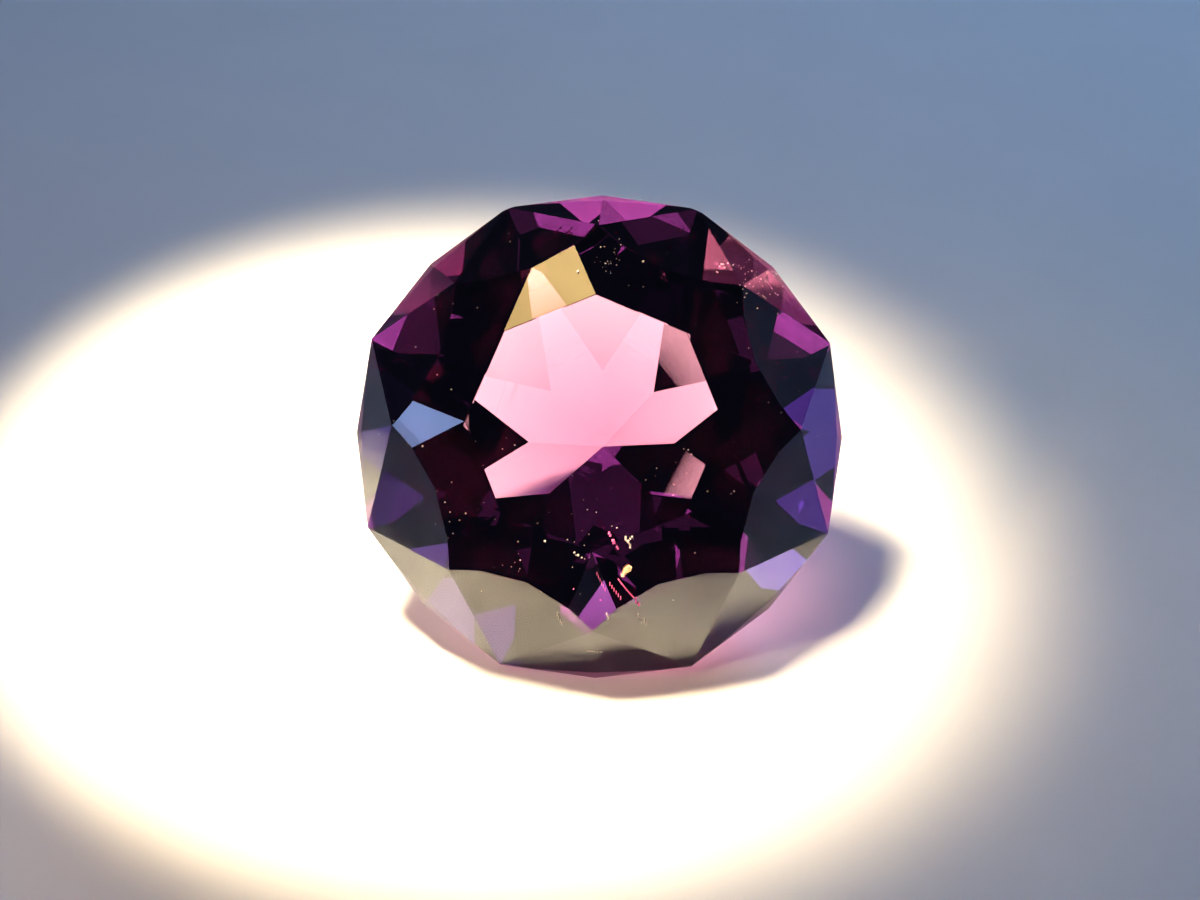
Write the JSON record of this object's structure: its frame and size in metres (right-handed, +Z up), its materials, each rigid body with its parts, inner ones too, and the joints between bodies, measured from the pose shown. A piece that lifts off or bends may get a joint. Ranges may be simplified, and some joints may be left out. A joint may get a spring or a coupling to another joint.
{
  "type": "faceted amethyst stone",
  "caption": "Round faceted amethyst, a loose clear violet stone that lies on a pavilion facet with its table leaning forward and up.",
  "frame": {"origin": "middle of the bottom of the stone's box, on the surface that it rests on", "axes": "+Z up, -Y towards the front, where the table faces forward and up, +X to the right seen from the front"},
  "size_m": [0.012, 0.0092, 0.0086],
  "materials": {
    "amethyst": "polished"
  },
  "bodies": {
    "root": {"amethyst_stone": "amethyst"}
  },
  "joints": []
}
